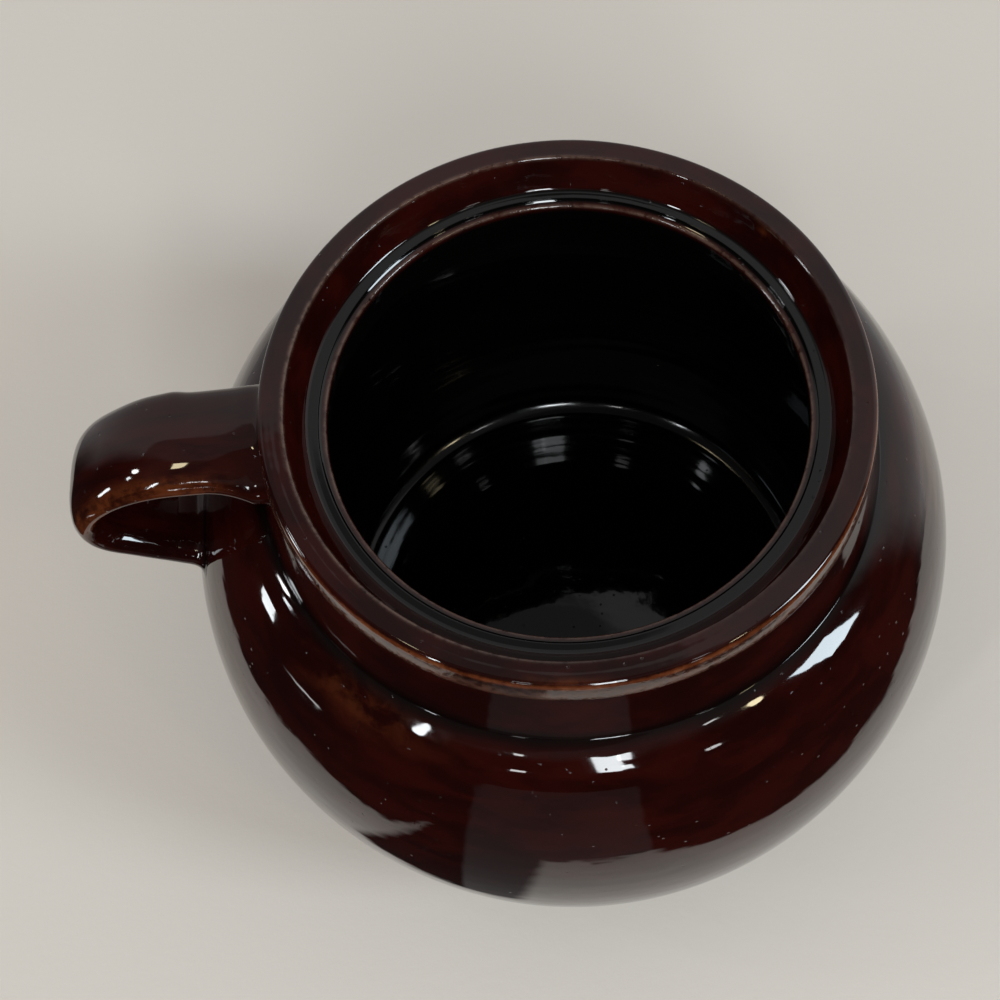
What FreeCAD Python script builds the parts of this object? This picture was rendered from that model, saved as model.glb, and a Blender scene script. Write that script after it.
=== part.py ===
"""Stoneware bean pot: a turned pot with a lid gallery, and one strap handle luted to its side.

The origin is the centre of the foot, on the plane that the pot stands on. +Z is up the pot's axis,
and the handle lies towards -X. All sizes are in millimetres.
"""
import FreeCAD, Part
import math
import os

import Sketcher
from FreeCAD import Placement, Rotation, Vector

# ---------------------------------------------------------------------------------------------
# Driving sizes: name, value, what it measures
# ---------------------------------------------------------------------------------------------
SIZES = (
    ("rim_height", 150.0, "table to the top of the rim"),
    ("belly_radius", 98.0, "outside of the pot where it is widest"),
    ("belly_height", 70.0, "table to that widest line"),
    ("shoulder_drop", 8.1, "neck's crease down to where the belly's curve tightens"),
    ("shoulder_slope", 15.3, "degrees that the shoulder still rises at the crease"),
    ("wall", 7.5, "wall at the belly and below it"),
    ("foot_radius", 66.5, "outer edge of the ring that the pot stands on"),
    ("foot_ring_width", 9.0, "width of that ring"),
    ("foot_recess", 2.0, "hollow of the underside inside the ring"),
    ("foot_slope", 2.5, "width of the slope from the ring into the hollow"),
    ("foot_round", 0.9, "radius of the ring's outer edge"),
    ("base_thickness", 10.0, "clay between the hollow and the floor"),
    ("floor_cove", 18.0, "radius between the floor and the inner wall"),
    ("neck_foot_radius", 73.0, "crease between the neck and the shoulder"),
    ("neck_height", 24.0, "top of the rim down to that crease"),
    ("neck_radius", 66.5, "outside of the neck just below the collar"),
    ("crease_round", 3.0, "hollow radius in the crease"),
    ("collar_radius", 69.7, "outside of the collar at its lower edge"),
    ("collar_taper", 0.5, "how much narrower the collar is at the top"),
    ("collar_height", 6.5, "height of the collar's outer face"),
    ("collar_undercut", 1.5, "how far the collar's underside slopes down to the neck"),
    ("collar_edge_round", 1.6, "radius of the collar's lower edge"),
    ("rim_round", 2.2, "radius of the rim's outer edge"),
    ("opening_radius", 63.0, "inner edge of the rim's top face"),
    ("opening_round", 0.9, "radius of that edge"),
    ("gallery_draft", 4.0, "how much narrower the gallery is at the lid's seat"),
    ("gallery_depth", 7.6, "top of the rim down to the lid's seat"),
    ("gallery_cove", 1.2, "hollow radius round the lid's seat"),
    ("seat_width", 2.4, "flat ring that the lid rests on"),
    ("lip_step", 0.6, "drop from the lid's seat to the lip"),
    ("lip_fall", 0.5, "how far the lip falls towards the mouth"),
    ("mouth_radius", 54.6, "mouth inside the lip"),
    ("mouth_length", 5.0, "depth of the mouth's wall, with its rounded edges"),
    ("mouth_round", 1.0, "radius of the lip's edges"),
    ("lip_underslope", 3.0, "how far the lip's underside slopes down to the neck"),
    ("throat_radius", 59.0, "inside of the neck below the lip"),
    ("throat_depth", 28.0, "top of the rim down to the end of the throat"),
    ("handle_drop", 11.0, "top of the rim down to the middle of the strap's upper end"),
    ("handle_gap", 2.3, "collar to the strap's upper end, filled by the lute"),
    ("handle_straight", 17.0, "straight run at the strap's upper end"),
    ("handle_top_curve", 27.0, "radius of the strap's upper bend"),
    ("handle_end_curve", 11.0, "radius of the strap's outer bend"),
    ("handle_reach", 44.3, "collar to the middle of the strap at its outermost"),
    ("handle_fall", 37.5, "middle of the strap's upper end down to its lower end"),
    ("strap_width", 25.6, "strap across its rounded edges"),
    ("strap_thickness", 8.6, "strap at its middle"),
    ("strap_edge", 6.0, "strap's thickness where its edges begin"),
    ("strap_bulge", 2.8, "how far the rounded edges stand out"),
    ("lute_thickness", 3.0, "belly to the strap's lower end, filled by the lute"),
    ("lute_flare", 3.6, "how far a lute spreads past the strap"),
    ("lute_bite", 3.0, "how deep a lute's blank reaches into the pot before it is cut to fit"),
)

FULL_TURN, HALF_TURN, QUARTER_TURN = 360.0, 180.0, 90.0
HALVINGS = 60                      # enough to close in on an angle exactly
MM3_PER_CM3 = 1000.0
START, END, CENTRE = range(1, 4)   # the points of a sketch's line or arc
LEVEL_AXIS, UPRIGHT_AXIS = range(-1, -3, -1)   # the sketch's own axes
ORIGIN = (LEVEL_AXIS, START)


class Size:
    """A length or an angle: its value, and the expression that ties it to the sheet."""

    def __init__(self, value, text):
        self.value = value
        self.text = text

    @staticmethod
    def of(other):
        return other if isinstance(other, Size) else Size(float(other), repr(float(other)))

    def __add__(self, other):
        other = Size.of(other)
        return Size(self.value + other.value, f"({self.text} + {other.text})")

    def __sub__(self, other):
        other = Size.of(other)
        return Size(self.value - other.value, f"({self.text} - {other.text})")

    def __mul__(self, other):
        other = Size.of(other)
        return Size(self.value * other.value, f"({self.text} * {other.text})")

    def __truediv__(self, other):
        other = Size.of(other)
        return Size(self.value / other.value, f"({self.text} / {other.text})")

    def cos(self):
        return Size(math.cos(math.radians(self.value)), f"cos({self.text} * 1 deg)")

    def sin(self):
        return Size(math.sin(math.radians(self.value)), f"sin({self.text} * 1 deg)")


ZERO = Size(0.0, "0")


class Sheet:
    """The sizes of the pot, each one a cell of the document's spreadsheet, and its levels."""

    def __init__(self, doc, rows):
        cells = doc.addObject("Spreadsheet::Sheet", "Sizes")
        for number, (name, value, meaning) in enumerate(rows, start=1):
            cells.set(f"A{number}", name)
            cells.set(f"B{number}", str(value))
            cells.setAlias(f"B{number}", name)
            cells.set(f"C{number}", meaning)
            setattr(self, name, Size(value, f"{cells.Name}.{name}"))
        self.floor = self.foot_recess + self.base_thickness
        self.crease = self.rim_height - self.neck_height
        self.collar_bottom = self.rim_height - self.collar_height
        self.collar_top_radius = self.collar_radius - self.collar_taper
        self.seat = self.rim_height - self.gallery_depth
        self.seat_outer = self.opening_radius - self.gallery_draft
        self.seat_inner = self.seat_outer - self.seat_width
        self.lip = self.seat - self.lip_step
        self.mouth_top = self.lip - self.lip_fall
        self.mouth_bottom = self.mouth_top - self.mouth_length
        self.throat_end = self.rim_height - self.throat_depth


# ---------------------------------------------------------------------------------------------
# Sketch helpers
# ---------------------------------------------------------------------------------------------
def origin_plane(body, role):
    return next(plane for plane in body.Origin.OriginFeatures if plane.Role == role)


def new_sketch(body, name, role):
    sketch = body.newObject("Sketcher::SketchObject", name)
    sketch.AttachmentSupport = [(origin_plane(body, role), "")]
    sketch.MapMode = "FlatFace"
    return sketch


def bind(sketch, constraint, size):
    """Add a constraint whose value follows the sheet."""
    index = sketch.addConstraint(constraint)
    sketch.setExpression(f"Constraints[{index}]", size.text)


def measure(sketch, name, constraint, unit):
    """A length or an angle that the sketch's own shape settles, for other sketches to follow."""
    index = sketch.addConstraint(constraint)
    sketch.setDriving(index, False)
    sketch.renameConstraint(index, name)
    sketch.solve()
    return Size(sketch.getDatum(name).Value, f"({sketch.Name}.Constraints.{name} / 1 {unit})")


def pin(sketch, geometry, point, across, up):
    """Hold a point at a distance across and up from the sketch's origin; None leaves one free."""
    if across is not None and across.value == 0.0:
        sketch.addConstraint(Sketcher.Constraint("PointOnObject", geometry, point, UPRIGHT_AXIS))
    elif across is not None:
        bind(sketch, Sketcher.Constraint("DistanceX", *ORIGIN, geometry, point, across.value), across)
    if up is not None and up.value == 0.0:
        sketch.addConstraint(Sketcher.Constraint("PointOnObject", geometry, point, LEVEL_AXIS))
    elif up is not None:
        bind(sketch, Sketcher.Constraint("DistanceY", *ORIGIN, geometry, point, up.value), up)


def bind_angle(sketch, line, size):
    """Hold a line at an angle from level."""
    index = sketch.addConstraint(Sketcher.Constraint("Angle", line, math.radians(size.value)))
    sketch.setExpression(f"Constraints[{index}]", f"{size.text} * 1 deg")


def join(sketch, first, first_point, second, second_point):
    sketch.addConstraint(Sketcher.Constraint("Coincident", first, first_point, second, second_point))


def blend(sketch, first, first_point, second, second_point):
    """Join two ends so that one runs smoothly into the other."""
    sketch.addConstraint(Sketcher.Constraint("Tangent", first, first_point, second, second_point))


def straight_run(sketch, corners):
    """Lines from corner to corner. A corner is (across, up), or (across, up, guess) where across
    is None because an arc settles it. Returns the first and the last line."""
    places = [Vector(c[2] if c[0] is None else c[0].value, c[1].value, 0) for c in corners]
    lines = [sketch.addGeometry(Part.LineSegment(a, b), False) for a, b in zip(places, places[1:])]
    for line, corner in zip(lines, corners):
        pin(sketch, line, START, corner[0], corner[1])
    pin(sketch, lines[-1], END, corners[-1][0], corners[-1][1])
    for before, after in zip(lines, lines[1:]):
        join(sketch, before, END, after, START)
    return lines[0], lines[-1]


def arc(sketch, across, up, radius, start, end):
    """An arc about (across, up), anticlockwise between two angles in radians."""
    circle = Part.Circle(Vector(across, up, 0), Vector(0, 0, 1), radius)
    return sketch.addGeometry(Part.ArcOfCircle(circle, start, end), False)


def swell(widest, height, end, end_height):
    """The arc that is upright at the widest point and runs to an end: centre and radius."""
    inset = widest - end
    rise = end_height - height
    radius = (inset * inset + rise * rise) / (2 * inset)
    return widest - radius, radius


# ---------------------------------------------------------------------------------------------
# Pot body: one turned piece
# ---------------------------------------------------------------------------------------------
def lower_curve(s):
    """The wall from foot to belly: its centre, outer and inner radius, and where it meets the floor."""
    centre, outer = swell(s.belly_radius.value, s.belly_height.value, s.foot_radius.value, 0.0)
    inner = outer - s.wall.value
    drop = (s.belly_height - s.floor).value
    return centre, outer, inner, centre + math.sqrt(inner ** 2 - drop ** 2)


def shoulder_joint(s):
    """Where the belly's curve meets the shoulder's.

    The belly's arc starts upright at the widest line, and the shoulder's arc ends at the crease
    with its slope. The steeper the shoulder's chord, the nearer the joint is to the crease.
    """
    inset = (s.belly_radius - s.neck_foot_radius).value
    drop = s.shoulder_drop.value
    rise = (s.crease - s.belly_height).value - drop
    slope = math.radians(s.shoulder_slope.value)
    shallow, steep = slope, (math.pi / 2 + slope) / 2
    for _ in range(HALVINGS):
        chord = (shallow + steep) / 2
        width = rise / math.tan(math.pi / 4 + chord - slope / 2) + drop / math.tan(chord)
        if width > inset:
            shallow = chord
        else:
            steep = chord
    return Vector(s.neck_foot_radius.value + drop / math.tan(chord), s.crease.value - drop, 0)


def wall_outline(sketch, s):
    """Half of the pot's section: foot, belly, shoulder, neck, collar, gallery, lip and inside.

    Returns the radius that the belly's curve comes out at.
    """
    inside = s.belly_radius - s.wall
    ring_inner = s.foot_radius - s.foot_ring_width
    neck_first, throat_last = straight_run(sketch, (
        (s.neck_foot_radius, s.crease),
        (s.neck_radius, s.collar_bottom - s.collar_undercut),
        (s.collar_radius, s.collar_bottom),
        (s.collar_top_radius, s.rim_height),
        (s.opening_radius, s.rim_height),
        (s.seat_outer, s.seat),
        (s.seat_inner, s.seat),
        (s.seat_inner - s.lip_step, s.lip),
        (s.mouth_radius, s.mouth_top),
        (s.mouth_radius, s.mouth_bottom),
        (s.throat_radius, s.mouth_bottom - s.lip_underslope),
        (s.throat_radius, s.throat_end),
    ))

    lower_centre, lower_radius, inner_radius, floor_edge = lower_curve(s)
    floor_first, foot_last = straight_run(sketch, (
        (None, s.floor, floor_edge),
        (ZERO, s.floor),
        (ZERO, s.foot_recess),
        (ring_inner - s.foot_slope, s.foot_recess),
        (ring_inner, ZERO),
        (s.foot_radius, ZERO),
    ))

    # Outside: foot to belly, belly to shoulder, shoulder to neck
    foot_angle = math.asin(-s.belly_height.value / lower_radius)
    lower = arc(sketch, lower_centre, s.belly_height.value, lower_radius, foot_angle, 0.0)
    joint = shoulder_joint(s)
    belly_centre, belly_curve = swell(s.belly_radius.value, s.belly_height.value, joint.x, joint.y)
    turn = math.asin((joint.y - s.belly_height.value) / belly_curve)
    belly = arc(sketch, belly_centre, s.belly_height.value, belly_curve, 0.0, turn)
    out_of_joint = Vector(math.cos(turn), math.sin(turn), 0)
    crease = Vector(s.neck_foot_radius.value, s.crease.value, 0)
    chord = crease - joint
    shoulder_curve = -chord.Length ** 2 / (2 * chord.dot(out_of_joint))
    shoulder_centre = joint - out_of_joint * shoulder_curve
    to_crease = crease - shoulder_centre
    shoulder = arc(sketch, shoulder_centre.x, shoulder_centre.y, shoulder_curve,
                   turn, math.atan2(to_crease.y, to_crease.x))
    spoke = sketch.addGeometry(Part.LineSegment(crease, shoulder_centre), True)
    pin(sketch, belly, CENTRE, None, s.belly_height)
    pin(sketch, belly, START, s.belly_radius, s.belly_height)
    pin(sketch, belly, END, None, s.crease - s.shoulder_drop)
    pin(sketch, lower, CENTRE, None, s.belly_height)
    join(sketch, lower, END, belly, START)
    join(sketch, foot_last, END, lower, START)
    blend(sketch, belly, END, shoulder, START)
    join(sketch, shoulder, END, neck_first, START)
    join(sketch, spoke, START, shoulder, END)
    join(sketch, spoke, END, shoulder, CENTRE)
    bind_angle(sketch, spoke, s.shoulder_slope * -1 - QUARTER_TURN)

    # Inside: throat to belly, belly to floor
    upper_centre, upper_radius = swell(inside.value, s.belly_height.value,
                                       s.throat_radius.value, s.throat_end.value)
    throat_angle = math.asin((s.throat_end - s.belly_height).value / upper_radius)
    upper = arc(sketch, upper_centre, s.belly_height.value, upper_radius, 0.0, throat_angle)
    floor_angle = math.asin((s.floor - s.belly_height).value / inner_radius)
    well = arc(sketch, lower_centre, s.belly_height.value, inner_radius, floor_angle, 0.0)
    pin(sketch, upper, CENTRE, None, s.belly_height)
    pin(sketch, upper, START, inside, s.belly_height)
    join(sketch, throat_last, END, upper, END)
    join(sketch, well, END, upper, START)
    join(sketch, well, CENTRE, lower, CENTRE)
    join(sketch, well, START, floor_first, START)
    return measure(sketch, "belly_curve", Sketcher.Constraint("Radius", belly, belly_curve), "mm")


def ring_edge(shape, radius, height):
    """The name of the circular edge that lies nearest to a radius and a height."""
    def miss(numbered):
        curve = numbered[1].Curve
        if not isinstance(curve, Part.Circle):
            return math.inf
        return abs(curve.Radius - radius) + abs(curve.Center.z - height)
    number, _ = min(enumerate(shape.Edges, start=1), key=miss)
    return f"Edge{number}"


def round_rings(doc, body, s):
    """Round the pot's edges and fill its creases, one feature for each ring."""
    rings = (
        ("floor_cove", s.floor_cove, lower_curve(s)[-1], s.floor),
        ("crease_hollow", s.crease_round, s.neck_foot_radius.value, s.crease),
        ("collar_edge", s.collar_edge_round, s.collar_radius.value, s.collar_bottom),
        ("rim_edge", s.rim_round, s.collar_top_radius.value, s.rim_height),
        ("opening_edge", s.opening_round, s.opening_radius.value, s.rim_height),
        ("gallery_hollow", s.gallery_cove, s.seat_outer.value, s.seat),
        ("mouth_upper_edge", s.mouth_round, s.mouth_radius.value, s.mouth_top),
        ("mouth_lower_edge", s.mouth_round, s.mouth_radius.value, s.mouth_bottom),
        ("foot_edge", s.foot_round, s.foot_radius.value, ZERO),
    )
    for name, radius, across, up in rings:
        base = body.Tip
        fillet = body.newObject("PartDesign::Fillet", name)
        fillet.Base = (base, [ring_edge(base.Shape, across, up.value)])
        fillet.Radius = radius.value
        fillet.setExpression("Radius", radius.text)
        doc.recompute()


def make_pot_body(doc, s):
    body = doc.addObject("PartDesign::Body", "pot_body")
    outline = new_sketch(body, "wall_outline", "XZ_Plane")
    belly_curve = wall_outline(outline, s)
    turned = body.newObject("PartDesign::Revolution", "turned_wall")
    turned.Profile = outline
    turned.ReferenceAxis = (outline, ["V_Axis"])
    turned.Angle = FULL_TURN
    doc.recompute()
    round_rings(doc, body, s)
    return body, belly_curve


# ---------------------------------------------------------------------------------------------
# Handle: a pulled strap, swept along a bent path. It is made towards +X and turned round.
# ---------------------------------------------------------------------------------------------
TO_HANDLE_SIDE = Placement(Vector(0, 0, 0), Rotation(Vector(0, 0, 1), HALF_TURN))


def upper_end(s):
    """Where the strap starts beside the collar: across and up."""
    return s.collar_radius + s.handle_gap, s.rim_height - s.handle_drop


def strap_section(body, name, s, across, up, lean, grow):
    """The strap's section: crowned faces and round edges, square to its path.

    It is centred at (across, up), faces away from the pot, leans by an angle, and is larger
    than the strap by grow on every side.
    """
    sketch = new_sketch(body, name, "YZ_Plane")
    sketch.AttachmentOffset = Placement(Vector(0, up.value, across.value),
                                        Rotation(Vector(1, 0, 0), -lean.value))
    sketch.setExpression("AttachmentOffset.Base.y", up.text)
    sketch.setExpression("AttachmentOffset.Base.z", across.text)
    if lean.value:
        sketch.setExpression("AttachmentOffset.Rotation.Angle", f"-{lean.text} * 1 deg")
    half_width = s.strap_width / 2 + grow
    half_flat = half_width - s.strap_bulge
    half_edge = s.strap_edge / 2 + grow
    half_thick = s.strap_thickness / 2 + grow
    minus = Size(-1.0, "-1")
    right, left = half_flat, half_flat * minus
    top, bottom = half_edge, half_edge * minus
    corners = ((right, bottom), (right, top), (left, top), (left, bottom))
    crests = ((half_width, ZERO), (ZERO, half_thick), (half_width * minus, ZERO),
              (ZERO, half_thick * minus))
    sides = []
    for number, crest in enumerate(crests):
        ends = (corners[number], corners[(number + 1) % len(corners)])
        start, middle, stop = (Vector(x.value, y.value, 0) for x, y in (ends[0], crest, ends[1]))
        side = sketch.addGeometry(Part.Arc(start, middle, stop), False)
        crest_point = sketch.addGeometry(Part.Point(middle), True)
        pin(sketch, side, START, *ends[0])
        pin(sketch, crest_point, START, *crest)
        sketch.addConstraint(Sketcher.Constraint("PointOnObject", crest_point, START, side))
        sides.append(side)
    for number, side in enumerate(sides):
        join(sketch, side, END, sides[(number + 1) % len(sides)], START)
    return sketch


def strap_path(body, s, belly_curve):
    """The strap's middle line: out level from the collar, round, and back down to the belly.

    Returns the sketch, the place of the strap's lower end, and how far its lower run leans.
    """
    sketch = new_sketch(body, "strap_path", "XZ_Plane")
    start_across, start_up = upper_end(s)
    bend_across = start_across + s.handle_straight
    end_up = start_up - s.handle_fall
    outer_across = s.collar_radius + s.handle_reach - s.handle_end_curve
    seat_centre = s.belly_radius - belly_curve
    seat_radius = belly_curve + s.lute_thickness
    seat_rise = (end_up - s.belly_height).value
    stop = Vector(seat_centre.value + math.sqrt(seat_radius.value ** 2 - seat_rise ** 2),
                  end_up.value, 0)
    # The outer bend touches the upper bend from inside, and the lower run is its tangent
    top_centre = Vector(bend_across.value, (start_up - s.handle_top_curve).value, 0)
    aside = outer_across.value - top_centre.x
    spare = (s.handle_top_curve - s.handle_end_curve).value
    outer_centre = Vector(outer_across.value,
                          top_centre.y + math.sqrt(spare ** 2 - aside ** 2), 0)
    meeting = math.atan2(outer_centre.y - top_centre.y, aside)
    to_bend = outer_centre - stop
    lean = (math.atan2(to_bend.y, to_bend.x)
            - math.asin(s.handle_end_curve.value / to_bend.Length))
    inward = Vector(-math.sin(lean), math.cos(lean), 0)
    bend_stop = outer_centre - inward * s.handle_end_curve.value

    start = Vector(start_across.value, start_up.value, 0)
    straight = sketch.addGeometry(
        Part.LineSegment(start, Vector(bend_across.value, start_up.value, 0)), False)
    upper = arc(sketch, top_centre.x, top_centre.y, s.handle_top_curve.value,
                meeting, math.pi / 2)
    outer = arc(sketch, outer_centre.x, outer_centre.y, s.handle_end_curve.value,
                lean - math.pi / 2, meeting)
    lower = sketch.addGeometry(Part.LineSegment(stop, bend_stop), False)
    seat = sketch.addGeometry(Part.Circle(Vector(seat_centre.value, s.belly_height.value, 0),
                                          Vector(0, 0, 1), seat_radius.value), True)
    pin(sketch, straight, START, start_across, start_up)
    pin(sketch, straight, END, bend_across, None)
    sketch.addConstraint(Sketcher.Constraint("Horizontal", straight))
    blend(sketch, straight, END, upper, END)
    bind(sketch, Sketcher.Constraint("Radius", upper, s.handle_top_curve.value), s.handle_top_curve)
    blend(sketch, upper, START, outer, END)
    bind(sketch, Sketcher.Constraint("Radius", outer, s.handle_end_curve.value), s.handle_end_curve)
    pin(sketch, outer, CENTRE, outer_across, None)
    blend(sketch, outer, START, lower, END)
    pin(sketch, seat, CENTRE, seat_centre, s.belly_height)
    bind(sketch, Sketcher.Constraint("Radius", seat, seat_radius.value), seat_radius)
    sketch.addConstraint(Sketcher.Constraint("PointOnObject", lower, START, seat))
    pin(sketch, lower, START, None, end_up)
    end_across = measure(sketch, "end_across",
                         Sketcher.Constraint("DistanceX", *ORIGIN, lower, START, stop.x), "mm")
    run_lean = measure(sketch, "lower_run_lean",
                       Sketcher.Constraint("Angle", lower, lean), "deg")
    return sketch, (end_across, end_up), run_lean


def make_handle(doc, s, belly_curve):
    """The strap, with the place of its lower end and how far its lower run leans."""
    body = doc.addObject("PartDesign::Body", "handle")
    path, lower_end, lean = strap_path(body, s, belly_curve)
    section = strap_section(body, "strap_section", s, *upper_end(s), lean=ZERO, grow=ZERO)
    doc.recompute()
    strap = body.newObject("PartDesign::AdditivePipe", "strap")
    strap.Profile = section
    strap.Spine = (path, [])
    body.Placement = TO_HANDLE_SIDE
    doc.recompute()
    return body, lower_end, lean


# ---------------------------------------------------------------------------------------------
# Lutes: the clay that joins each end of the strap to the pot, spreading towards the pot
# ---------------------------------------------------------------------------------------------
LUTE_STATIONS = (0.0, 0.5, 1.0)   # sections of a lute's flare, as shares of its depth


def make_lute(doc, s, name, pot, place, lean, depth):
    """A flare from the strap's end into the pot's wall, cut away where the pot is."""
    blank = doc.addObject("PartDesign::Body", name + "_blank")
    sections = []
    for number, share in enumerate(LUTE_STATIONS):
        inward = depth * share
        across = place[0] - inward * lean.cos()
        up = place[1] - inward * lean.sin()
        sections.append(strap_section(blank, f"{name}_section_{number}", s, across, up, lean,
                                      s.lute_flare * share ** 2))
    doc.recompute()
    flare = blank.newObject("PartDesign::AdditiveLoft", name + "_flare")
    flare.Profile = sections[0]
    flare.Sections = sections[1:]
    flare.Ruled = False
    blank.Placement = TO_HANDLE_SIDE
    lute = doc.addObject("Part::Cut", name)
    lute.Base = blank
    lute.Tool = pot
    doc.recompute()
    return lute


# ---------------------------------------------------------------------------------------------
# Assembly, checks and export
# ---------------------------------------------------------------------------------------------
def check(doc, pieces):
    failed = [o.Name for o in doc.Objects if {"Invalid", "Error"} & set(o.State)]
    if failed:
        raise RuntimeError(f"objects that failed: {failed}")
    for piece in pieces:
        shape = piece.Shape
        if shape.isNull() or not shape.isValid() or len(shape.Solids) != 1:
            raise RuntimeError(f"{piece.Label} isn't one valid solid")


def main():
    doc = FreeCAD.newDocument("BeanPot")
    s = Sheet(doc, SIZES)
    doc.recompute()
    pot, belly_curve = make_pot_body(doc, s)
    handle, lower_end, lean = make_handle(doc, s, belly_curve)
    neck_depth = s.collar_radius + s.handle_gap - s.neck_radius + s.lute_bite
    upper = make_lute(doc, s, "upper_lute", pot, upper_end(s), ZERO, neck_depth)
    lower = make_lute(doc, s, "lower_lute", pot, lower_end, lean, s.lute_thickness + s.lute_bite)
    pieces = (pot, handle, upper, lower)
    for piece in pieces:
        piece.Label = piece.Name
    doc.recompute()
    check(doc, pieces)
    os.makedirs("parts", exist_ok=True)
    for piece in pieces:
        piece.Shape.exportStep(f"parts/{piece.Label}.step")
        print(f"{piece.Label}: {piece.Shape.Volume / MM3_PER_CM3:.1f} cm3")


main()
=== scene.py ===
"""Looks of the stoneware bean pot: treacle glaze over turned clay, on a plain pale floor.

Sizes of the object are in millimetres in its own frame, with r outward from the pot's axis and
z up from the floor, and become metres when a mesh is made. The handle lies towards -X.
"""

import math

import bpy
import numpy as np
from mathutils import Euler, Matrix, Vector
from mathutils.bvhtree import BVHTree


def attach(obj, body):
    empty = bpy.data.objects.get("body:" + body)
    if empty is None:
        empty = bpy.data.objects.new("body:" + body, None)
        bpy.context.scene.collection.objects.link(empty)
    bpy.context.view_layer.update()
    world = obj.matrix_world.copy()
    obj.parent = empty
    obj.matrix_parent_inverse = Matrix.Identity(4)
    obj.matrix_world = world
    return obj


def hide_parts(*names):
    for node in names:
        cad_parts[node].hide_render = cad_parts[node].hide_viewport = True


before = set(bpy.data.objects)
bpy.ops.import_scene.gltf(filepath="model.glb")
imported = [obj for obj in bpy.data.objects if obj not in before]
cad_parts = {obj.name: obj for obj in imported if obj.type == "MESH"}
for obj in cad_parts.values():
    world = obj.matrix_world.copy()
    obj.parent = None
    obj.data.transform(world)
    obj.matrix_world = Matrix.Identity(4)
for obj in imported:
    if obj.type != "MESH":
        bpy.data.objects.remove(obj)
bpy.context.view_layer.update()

MM = 0.001
TURN = 2.0 * math.pi

# ---------------------------------------------------------------------------------------------
# Sizes of the pot's section, with its points as (r, z)
# ---------------------------------------------------------------------------------------------
RIM_Z = 150.0
CREASE = (73.0, 126.0)
NECK_TOP = (66.5, 142.0)
COLLAR_EDGE = (69.7, 143.1)
COLLAR_CROWN = 0.16                         # how far the collar's face swells out
RIM_EDGE = (68.6, RIM_Z)
OPENING_EDGE = (63.0, RIM_Z)
SEAT_OUTER = (59.0, 142.4)
SEAT_INNER = (56.6, 142.4)
LIP = (56.0, 141.8)
MOUTH_TOP = (54.6, 141.3)
MOUTH_BOTTOM = (54.6, 136.3)
THROAT_TOP = (59.0, 133.3)
THROAT_END = (59.0, 122.0)
BELLY = (98.0, 70.0)
FOOT_OUTER = (66.5, 0.0)
FOOT_INNER = (57.5, 0.0)
RECESS_EDGE = (55.0, 2.0)
SHOULDER_DROP = 8.1
SHOULDER_SLOPE = math.radians(15.3)
WALL = 7.5
FLOOR_Z = 12.0
COVE_RADIUS = 8.0


# ---------------------------------------------------------------------------------------------
# Curves
# ---------------------------------------------------------------------------------------------
def line(start, end, step=0.5):
    """Evenly spaced points on a straight run."""
    start, end = np.array(start, float), np.array(end, float)
    count = max(2, int(np.linalg.norm(end - start) / step) + 1)
    return start + (end - start) * np.linspace(0.0, 1.0, count)[:, None]


def arc(centre, start, end, step=0.5):
    """From start to end about a centre, the shorter way; the radius eases from one to the other."""
    centre, start, end = (np.array(p, float) for p in (centre, start, end))
    first, last = start - centre, end - centre
    radius_a, radius_b = np.linalg.norm(first), np.linalg.norm(last)
    angle_a = math.atan2(first[1], first[0])
    turn = math.remainder(math.atan2(last[1], last[0]) - angle_a, TURN)
    count = max(3, int(abs(turn) * radius_a / step) + 1)
    share = np.linspace(0.0, 1.0, count)
    angle = angle_a + turn * share
    radius = radius_a + (radius_b - radius_a) * share
    return centre + radius[:, None] * np.stack((np.cos(angle), np.sin(angle)), 1)


def crowned(start, end, crown, count=15):
    """A shallow bow from start to end, swelling to the right of the way it runs."""
    start, end = np.array(start, float), np.array(end, float)
    way = end - start
    side = np.array((way[1], -way[0])) / np.linalg.norm(way)
    share = np.linspace(0.0, 1.0, count)[:, None]
    return start + way * share + side * crown * 4.0 * share * (1.0 - share)


def swell_centre(widest, end):
    """Centre of the arc that is upright at its widest point and runs to an end."""
    inset = widest[0] - end[0]
    rise = end[1] - widest[1]
    return (widest[0] - (inset ** 2 + rise ** 2) / (2.0 * inset), widest[1])


def cove():
    """Centre of the arc between the inner wall and the floor, and where that arc meets the wall."""
    middle = np.array(swell_centre(BELLY, FOOT_OUTER))
    reach = BELLY[0] - WALL - middle[0] - COVE_RADIUS
    rise = FLOOR_Z + COVE_RADIUS - middle[1]
    way = np.array((math.sqrt(reach ** 2 - rise ** 2), rise))
    return middle + way, middle + way * (1.0 + COVE_RADIUS / reach)


def shoulder():
    """Where the belly's arc meets the shoulder's, and the shoulder arc's centre.

    The belly's arc starts upright at the widest line, and the shoulder's ends at the crease with
    its slope. The steeper the shoulder's chord, the nearer the joint is to the crease.
    """
    inset, rise = BELLY[0] - CREASE[0], CREASE[1] - BELLY[1] - SHOULDER_DROP
    shallow, steep = SHOULDER_SLOPE, (math.pi / 2 + SHOULDER_SLOPE) / 2
    for _ in range(60):
        chord = (shallow + steep) / 2
        width = rise / math.tan(math.pi / 4 + chord - SHOULDER_SLOPE / 2) \
            + SHOULDER_DROP / math.tan(chord)
        shallow, steep = (chord, steep) if width > inset else (shallow, chord)
    joint = np.array((CREASE[0] + SHOULDER_DROP / math.tan(chord), CREASE[1] - SHOULDER_DROP))
    out = joint - swell_centre(BELLY, joint)
    out /= np.linalg.norm(out)
    reach = np.array(CREASE) - joint
    curve = -(reach @ reach) / (2.0 * (reach @ out))
    return joint, joint - out * curve


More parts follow.
